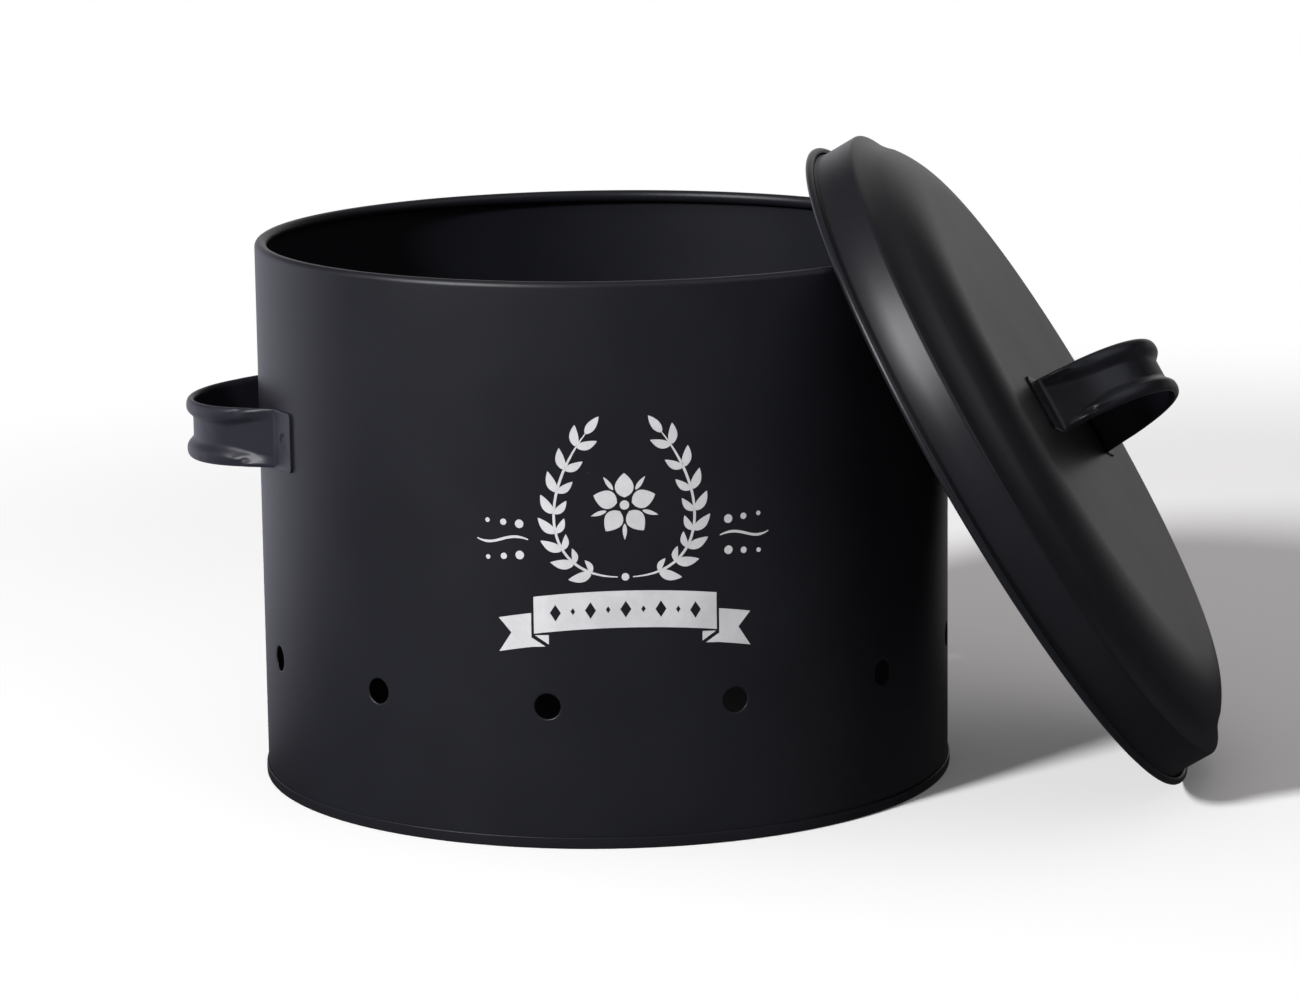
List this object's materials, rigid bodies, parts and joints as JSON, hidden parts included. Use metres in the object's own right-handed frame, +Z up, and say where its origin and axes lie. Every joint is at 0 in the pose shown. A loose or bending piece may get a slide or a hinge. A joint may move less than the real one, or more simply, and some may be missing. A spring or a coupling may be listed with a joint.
{
  "type": "storage bin",
  "caption": "Round sheet-steel storage bin with curled rim, vent holes, strap handles and a lift-off beaded lid that leans on its rim.",
  "frame": {"origin": "centre of the bin's foot, on the floor", "axes": "+Z up along the bin's axis, -Y towards the bin's printed front, +X towards the side where the lid leans"},
  "size_m": [0.3766, 0.2842, 0.2307],
  "materials": {
    "powder_coat": "satin powder coat",
    "lid_coat": "satin powder coat",
    "handle_coat": "satin powder coat"
  },
  "bodies": {
    "bin": {"bin_wall": "powder_coat", "base_plate": "powder_coat", "left_handle": "handle_coat", "right_handle": "handle_coat"},
    "lid": {"lid_pan": "lid_coat", "lid_handle": "handle_coat"}
  },
  "joints": [
    {"name": "lid_lift", "type": "slide", "parent": "bin", "child": "lid", "axis": [0, 0, 1], "range_m": [0, 0.25]}
  ]
}
